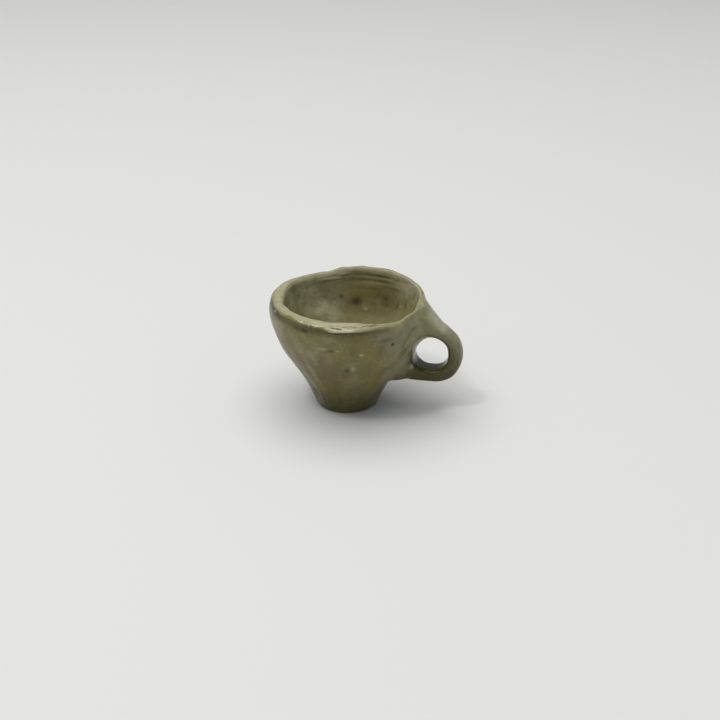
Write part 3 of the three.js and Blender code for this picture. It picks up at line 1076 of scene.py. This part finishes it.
def glaze_material(colours):
    """Olive glaze that breaks pale over edges and pools dark in hollows, with painted shade low on the cup,
    under the handle, round the finger hole and under the lip's fold, and painted light on the lip's top, its
    inner edge and creases and on the handle's web.
    """
    material, shader, nodes = new_material("olive_glaze")
    place = nodes.place()
    height = nodes.add("ShaderNodeSeparateXYZ", Vector=place).outputs["Z"]
    upright = nodes.add("ShaderNodeMapping", Vector=place, Scale=(1, 1, 0.35)).outputs["Vector"]
    cloud = nodes.noise(place, 160.0, detail=5.0)
    streak = nodes.noise(upright, 260.0, detail=4.0)
    patch = nodes.noise(place, 60.0, roughness=0.55)
    fleck = nodes.noise(place, 620.0, detail=2.0, roughness=0.5)
    wipes = nodes.noise(nodes.attribute("sweep").outputs["Vector"], 900.0)
    grain = nodes.grain(900.0, 0.35, 0.65)
    inside, handle, lip_top_break_and_light = map(nodes.mask, ("inside", "handle", "lip_top_break_and_light"))
    outside = nodes.rest(inside)

    def over(name, under, *amounts):
        """The named glaze laid over a colour, as far as the product of the amounts says."""
        return nodes.laid(tuple(getattr(colours, name)), under, nodes.times(*amounts))

    tint = over("cool", tuple(colours.plain), nodes.step(patch, 0.44, 0.64), 0.6)
    tint = over("cool", tint, handle)
    # The inside is lighter than the wall, partly as painted light from above
    tint = over("inside", tint, inside, 0.85)
    # Painted grey sheen and top light on the handle's web
    tint = over("worn", tint, nodes.mask("web_top_light"), 0.8)
    # Painted shade in the dark glaze colour: darker towards the foot, on the handle's lower part and round
    # the finger hole
    low = nodes.times(nodes.step(height, 0.024, 0.001), 0.75, outside)
    handle_underside_shade = nodes.times(handle, nodes.step(height, 0.029, 0.017), 0.95)
    hole_shade = nodes.times(nodes.mask("hole_shade"), 0.9)
    tint = over("pooled", tint, nodes.most(low, handle_underside_shade, hole_shade))
    ragged = nodes.math("MULTIPLY_ADD", nodes.step(cloud, 0.3, 0.6), 0.8, 0.4)
    # Patches of tone; the pale ones include painted highlights and the dark ones painted shade in dents
    for patches, name in (("brown", "warm"), ("grey", "cool"), ("pale", "thin"), ("dark", "pooled")):
        tint = over(name, tint, nodes.math("MULTIPLY", nodes.mask(patches), ragged, clamp=True))
    # Painted shadow under the lip's fold, and dark glaze pooled in hollows
    fold_shadow = nodes.times(nodes.mask("fold_shadow"), 0.85)
    tint = over("pooled", tint, nodes.most(fold_shadow, nodes.times(nodes.mask("hollow"), 0.7)))
    tint = over("bore", tint, nodes.mask("bore"), nodes.step(height, 0.024, 0.019))

    streaks = nodes.times(nodes.math("SUBTRACT", streak, cloud), outside, 0.5)
    streaky = nodes.math("ADD", streaks, cloud)
    mottle = nodes.step(streaky, 0.34, 0.66)
    tint = nodes.laid(nodes.laid(MOTTLE_LIGHT, MOTTLE_DARK, mottle), tint, 0.55, "OVERLAY")
    tint = over("pooled", tint, nodes.step(fleck, 0.58, 0.70), 0.22)
    tint = over("thin", tint, nodes.step(fleck, 0.40, 0.28), 0.1)

    # Pale glaze broken thin over edges, with painted top light on the lip and a painted highlight along its
    # inner edge
    thin = nodes.most(lip_top_break_and_light, nodes.mask("edge"), nodes.mask("inner_edge_highlight"))
    wiped = nodes.math("MULTIPLY_ADD", nodes.step(wipes, 0.3, 0.6), 0.45, 0.55)
    tint = over("thin", tint, thin, nodes.step(cloud, 0.05, 0.45), wiped, 0.9)
    # Painted glints on the lip's creases
    tint = over("crest", tint, nodes.mask("crest"), 0.9)
    speck = nodes.add("ShaderNodeTexVoronoi", Vector=place, Scale=330.0).outputs["Distance"]
    pinhole = nodes.times(nodes.step(speck, 0.13, 0.05), nodes.step(patch, 0.5, 0.6), 0.6)
    tint = over("pooled", tint, pinhole)

    nodes.feed(shader.inputs["Base Color"], tint)
    shader.inputs["Specular IOR Level"].default_value = GLAZE_SPECULAR
    nodes.feed(shader.inputs["Roughness"], nodes.math("MULTIPLY_ADD", streaky, 0.5, -0.03))
    texture = nodes.math("MULTIPLY_ADD", grain["Height"], 0.3, nodes.times(lip_top_break_and_light, wipes))
    texture = nodes.math("SUBTRACT", texture, nodes.times(pinhole, 0.5))
    bump = nodes.add("ShaderNodeBump", Height=texture, Strength=0.8, Distance=BUMP_HEIGHT)
    nodes.feed(shader.inputs["Normal"], bump.outputs["Normal"])
    return material


def clay_material(colours):
    """Bare fired clay, where the glaze was wiped from the underside."""
    material, shader, nodes = new_material("bare_clay")
    grain = nodes.grain(1500.0, 0.35, 0.65)
    light = tuple(colours.clay)
    dark = tuple(0.6 * k for k in light)
    nodes.feed(shader.inputs["Base Color"], nodes.laid(light, dark, grain["Mask"]))
    shader.inputs["Roughness"].default_value = MATT_ROUGHNESS
    bump = nodes.add("ShaderNodeBump", Height=grain["Height"], Strength=0.5, Distance=BUMP_HEIGHT)
    nodes.feed(shader.inputs["Normal"], bump.outputs["Normal"])
    return material


def shared_material(name, make, colours):
    return bpy.data.materials.get(name) or make(colours)


def finish_piece(context, part, slot, *nodes):
    """One clay part as a glazed piece that stands for its CAD nodes."""
    settings = context.scene.espresso_cup
    parts = clay_parts(settings.sizes)
    glaze = shared_material("olive_glaze", glaze_material, settings.colours)
    piece = add_piece("cup_" + part, parts[part], settings.sizes, parts["field"], glaze)
    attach(piece, BODY)
    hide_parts(*nodes)
    return piece


# Faces under this height are the bare underside
UNDERSIDE_HEIGHT = 0.0001


class CUP_OT_foot(Operator):
    """Add the foot that the cup stands on"""

    bl_idname = "cup.foot"
    bl_label = "Foot"

    def execute(self, context):
        piece = finish_piece(context, "foot", "glaze_foot", "foot")
        colours = context.scene.espresso_cup.colours
        piece.data.materials.append(shared_material("bare_clay", clay_material, colours))
        for face in piece.data.polygons:
            if face.center.z < UNDERSIDE_HEIGHT:
                face.material_index = 1
        return {"FINISHED"}


class GlazedPart:
    """What the other clay pieces share. nodes are the CAD nodes that a piece stands for."""

    def execute(self, context):
        finish_piece(context, self.part, self.slot, *self.nodes)
        return {"FINISHED"}


class CUP_OT_bowl(GlazedPart, Operator):
    """Add the pinched bowl"""

    bl_idname = "cup.bowl"
    bl_label = "Bowl"
    part = "bowl"
    slot = "glaze_wall"
    nodes = ("bowl",)


class CUP_OT_lip(GlazedPart, Operator):
    """Add the rolled lip"""

    bl_idname = "cup.lip"
    bl_label = "Lip"
    part = "lip"
    slot = "glaze_lip"
    nodes = ("lip",)


class CUP_OT_handle(GlazedPart, Operator):
    """Add the handle with its two roots"""

    bl_idname = "cup.handle"
    bl_label = "Handle"
    part = "handle"
    slot = "glaze_handle"
    nodes = ("handle_upper_root", "handle_strap", "handle_lower_root")


CAMERA_AZIMUTH = math.radians(10)
CAMERA_PITCH = math.radians(25.7)
CAMERA_PLACE = (0.0783, -0.4177, 0.223)
CAMERA_FOCAL_SHARE = 1145 / 720
CAMERA_CLIP_START = 0.01
SENSOR_WIDTH_MM = 36

# Lights: place, width, power in watts and colour. All of them aim at the middle of the cup
LIGHTS = {
    "overhead": ((-0.3, 0.1, 2), 2.6, 38, (1, 0.98, 0.95)),
    "key": ((-0.35, -0.45, 1.1), 0.18, 2.2, (1, 0.99, 0.97)),
}
LIGHTS_AIM = (0, 0, 0.03)
SKY_COLOUR = (0.90, 0.94, 1.0, 1)
SKY_STRENGTH = 0.36


def add_light(name, place, width, power, colour):
    light = bpy.data.lights.new(name, "AREA")
    light.shape = "DISK"
    light.size = width
    light.energy = power
    light.color = colour
    lamp = bpy.data.objects.new(name, light)
    lamp.location = place
    lamp.rotation_euler = (Vector(LIGHTS_AIM) - Vector(place)).to_track_quat("-Z", "Y").to_euler()
    bpy.context.scene.collection.objects.link(lamp)


class CUP_OT_stage(Operator):
    """Add the floor, the lights and the camera"""

    bl_idname = "cup.stage"
    bl_label = "Stage"

    def execute(self, context):
        studio = context.scene.espresso_cup.studio
        half = studio.floor_side / 2
        mesh = bpy.data.meshes.new("floor")
        corners = [(-half, -half, 0), (half, -half, 0), (half, half, 0), (-half, half, 0)]
        mesh.from_pydata(corners, [], [(0, 1, 2, 3)])
        floor = bpy.data.objects.new("floor", mesh)
        context.scene.collection.objects.link(floor)
        material, shader, _ = new_material("pale_floor")
        shader.inputs["Base Color"].default_value = (*studio.floor_colour, 1)
        shader.inputs["Roughness"].default_value = MATT_ROUGHNESS
        mesh.materials.append(material)

        world = bpy.data.worlds.new("studio")
        world.use_nodes = True
        background = world.node_tree.nodes["Background"]
        background.inputs["Color"].default_value = SKY_COLOUR
        background.inputs["Strength"].default_value = SKY_STRENGTH
        context.scene.world = world
        for name, light in LIGHTS.items():
            add_light(name, *light)

        camera = bpy.data.cameras.new("camera")
        camera.sensor_width = SENSOR_WIDTH_MM
        camera.lens = CAMERA_FOCAL_SHARE * SENSOR_WIDTH_MM
        camera.clip_start = CAMERA_CLIP_START
        rig = bpy.data.objects.new("camera", camera)
        rig.location = CAMERA_PLACE
        rig.rotation_euler = (math.pi / 2 - CAMERA_PITCH, 0, CAMERA_AZIMUTH)
        context.scene.collection.objects.link(rig)
        context.scene.camera = rig
        context.scene.view_settings.view_transform = "Standard"
        return {"FINISHED"}


PIECE_OPERATORS = (CUP_OT_foot, CUP_OT_bowl, CUP_OT_lip, CUP_OT_handle, CUP_OT_stage)


class CUP_PT_panel(Panel):
    bl_idname = "CUP_PT_panel"
    bl_label = "Espresso Cup"
    bl_space_type = "VIEW_3D"
    bl_region_type = "UI"
    bl_category = "Espresso Cup"

    def draw(self, context):
        settings = context.scene.espresso_cup
        for group in (settings.sizes, settings.colours, settings.studio):
            box = self.layout.box()
            for name in group.__annotations__:
                box.prop(group, name, text=name.replace("_", " ").capitalize())
        for operator in PIECE_OPERATORS:
            self.layout.operator(operator.bl_idname)


CLASSES = (CupSizes, GlazeColours, StudioSettings, CupSettings, *PIECE_OPERATORS, CUP_PT_panel)


def register():
    for cls in CLASSES:
        bpy.utils.register_class(cls)
    bpy.types.Scene.espresso_cup = PointerProperty(type=CupSettings)


def unregister():
    del bpy.types.Scene.espresso_cup
    for cls in reversed(CLASSES):
        bpy.utils.unregister_class(cls)


def main():
    register()
    bpy.ops.cup.foot()
    bpy.ops.cup.bowl()
    bpy.ops.cup.lip()
    bpy.ops.cup.handle()
    bpy.ops.cup.stage()


if __name__ == "__main__":
    main()
